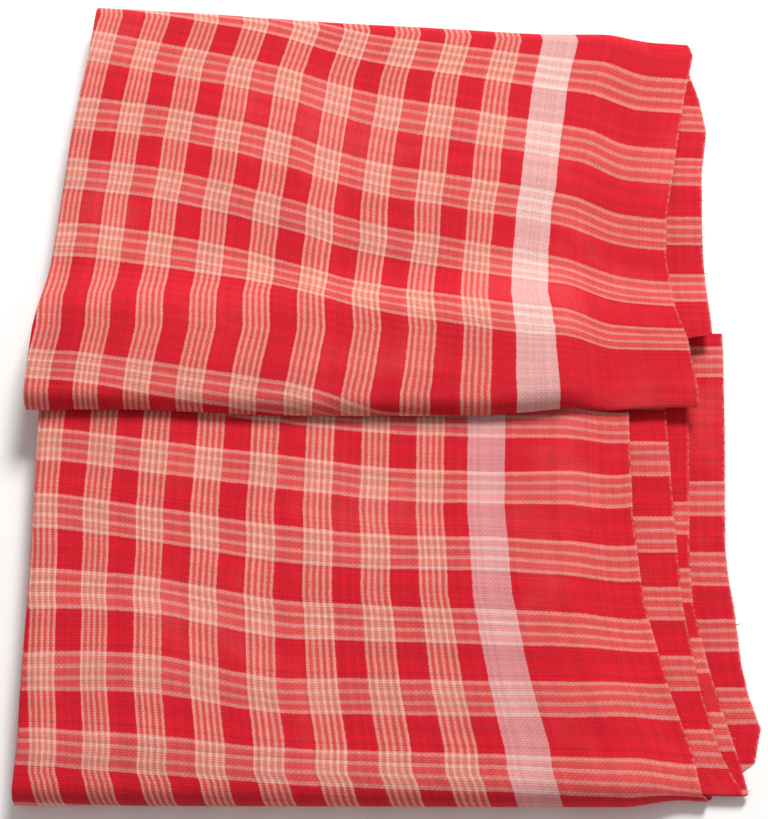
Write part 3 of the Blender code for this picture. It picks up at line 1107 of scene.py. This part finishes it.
    def weave(self, tree: bpy.types.NodeTree, u: bpy.types.NodeSocket,
              v: bpy.types.NodeSocket) -> tuple[Any, Any, Any, Any]:
        """Passes the threads over and under each other by turns, as plain weave does.

        Args:
            tree: The material's node tree.
            u: The place along the flat cloth, in mm.
            v: The place across it, in mm.

        Returns:
            1 where the warp is on top, the thread's roundness, and a chance value of each warp
            thread and of each weft thread.
        """
        counts, inside, squares = [], [], []
        for along in (u, v):
            count = node(tree, MATH, (along, self.thread), operation="DIVIDE")
            part = node(tree, MATH, (count,), operation="FRACT")
            part = node(tree, MATH, (part, 0.5), operation="SUBTRACT")
            counts.append(node(tree, MATH, (count,), operation="FLOOR"))
            squares.append(node(tree, MATH, (part, part), operation="MULTIPLY"))
        for first, second in (squares, squares[::-1]):
            round_way = node(tree, MATH, (first, self.across_round, 1.0), operation="MULTIPLY_ADD")
            long_way = node(tree, MATH, (second, self.along_round, 1.0), operation="MULTIPLY_ADD")
            inside.append(node(tree, MATH, (round_way, long_way), operation="MULTIPLY"))
        cell = node(tree, MATH, counts, operation="ADD")
        over = node(tree, MATH, (cell, 1.0), operation="PINGPONG")
        bulge = node(tree, MIX, {0: over, 2: inside[0], 3: inside[1]}, data_type="FLOAT")
        moved = node(tree, MATH, (counts[0], 0.5), operation="ADD")
        weft_thread = node(tree, "ShaderNodeTexWhiteNoise", {"W": moved}, noise_dimensions="1D")
        warp_thread = node(tree, "ShaderNodeTexWhiteNoise", {"W": counts[1]}, noise_dimensions="1D")
        return over.outputs[0], bulge.outputs[0], warp_thread.outputs[0], weft_thread.outputs[0]


@dataclass(frozen=True)
class PaleFloor:
    """Smooth matt board: pale, with barely any gloss."""

    name: str = "matt_white_board"
    colour: str = "#FBFAF9"
    roughness: float = 0.8
    roughness_spread: float = 0.08
    specular: float = 0.2
    grain_scale: float = 300.0

    def make(self) -> bpy.types.Material:
        """Builds the floor's material.

        Returns:
            The board, its gloss broken by a grain of about 3 mm.
        """
        material = bpy.data.materials.new(self.name)
        material.use_nodes = True
        tree = material.node_tree
        shader = tree.nodes["Principled BSDF"]
        shader.inputs["Base Color"].default_value = linear(self.colour)
        shader.inputs["Specular IOR Level"].default_value = self.specular
        place = node(tree, "ShaderNodeTexCoord", {})
        grain = node(tree, NOISE, {"Vector": place.outputs["Object"], "Scale": self.grain_scale})
        spread = self.roughness_spread
        rough = node(tree, MATH, (grain, spread, self.roughness - spread / 2),
                     operation="MULTIPLY_ADD")
        tree.links.new(rough.outputs[0], shader.inputs["Roughness"])
        return material


@dataclass(frozen=True)
class Softbox:
    """One soft square light: its place and side in metres, and its power in watts."""

    name: str
    place: tuple[float, float, float]
    side: float
    watts: float


@dataclass
class Studio:
    """A pale floor, soft light from above and behind, and the picture's camera."""

    floor_size: float = 4.0
    look_at: tuple[float, float, float] = (0.00067, -0.01717, 0.0)
    elevation: float = 67.0
    distance: float = 0.628
    lens: float = 65.93
    sensor: float = 36.0
    lights: tuple[Softbox, ...] = (
        Softbox(name="key_softbox", place=(0.5, 1.5, 1.55), side=0.7, watts=54.0),
        Softbox(name="fill_softbox", place=(0.7, -0.7, 1.3), side=1.0, watts=0.6),
    )
    room_colour: str = "#FBFAF8"
    room_light: float = 0.36

    def lay_floor(self) -> bpy.types.Object:
        """Lays the floor.

        Returns:
            The floor.
        """
        bpy.ops.object.select_all(action="DESELECT")
        bpy.ops.mesh.primitive_plane_add(size=self.floor_size, location=(0.0, 0.0, 0.0))
        floor = bpy.context.object
        floor.name = "studio_floor"
        floor.data.materials.append(PaleFloor().make())
        return floor

    def hang_light(self, box: Softbox) -> None:
        """Hangs one light that faces the towel.

        Args:
            box: The light.
        """
        data = bpy.data.lights.new(box.name, "AREA")
        data.shape, data.size, data.energy = "SQUARE", box.side, box.watts
        light = bpy.data.objects.new(box.name, data)
        light.location = box.place
        away = np.array(box.place) - np.array(self.look_at)
        turn_z = math.atan2(away[0], -away[1])
        light.rotation_euler = (math.atan2(math.hypot(away[0], away[1]), away[2]), 0.0, turn_z)
        bpy.context.scene.collection.objects.link(light)

    def light_up(self) -> None:
        """Hangs the lights and sets the even light of the room."""
        for box in self.lights:
            self.hang_light(box)
        # Standard shows each colour as it is dyed. Blender's default would wash the reds out.
        bpy.context.scene.view_settings.view_transform = "Standard"
        world = bpy.data.worlds.new("studio_room")
        world.use_nodes = True
        room = world.node_tree.nodes["Background"]
        room.inputs[0].default_value = linear(self.room_colour)
        room.inputs[1].default_value = self.room_light
        bpy.context.scene.world = world

    def place_camera(self) -> None:
        """Places the camera at the picture's viewing angle."""
        data = bpy.data.cameras.new("picture_camera")
        data.lens, data.sensor_width, data.sensor_fit = self.lens, self.sensor, "AUTO"
        camera = bpy.data.objects.new("picture_camera", data)
        tilt = math.radians(self.elevation)
        camera.location = (self.look_at[0], self.look_at[1] - self.distance * math.cos(tilt),
                           self.look_at[2] + self.distance * math.sin(tilt))
        camera.rotation_euler = (math.radians(90.0 - self.elevation), 0.0, 0.0)
        bpy.context.scene.collection.objects.link(camera)
        bpy.context.scene.camera = camera


def main() -> None:
    """Builds the towel, its frayed ends and the studio."""
    logging.basicConfig(level=logging.INFO, format="%(name)s: %(message)s")
    studio = Studio()
    studio.place_camera()
    cloth = FoldedCloth()
    finish = CheckedCotton(length=cloth.length)
    towel = cloth.build()
    cloth.dress(towel, finish)
    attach(towel, "root")
    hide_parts("gamcha_towel")
    LOG.info("%s: %d faces", towel.name, len(towel.data.polygons))
    threads = FrayedEnds().build(cloth)
    threads.data.materials.append(towel.data.materials[0])
    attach(threads, "root")
    LOG.info("%s: %d faces", threads.name, len(threads.data.polygons))
    floor = studio.lay_floor()
    studio.light_up()
    LOG.info("%s laid", floor.name)


if __name__ == "__main__":
    main()
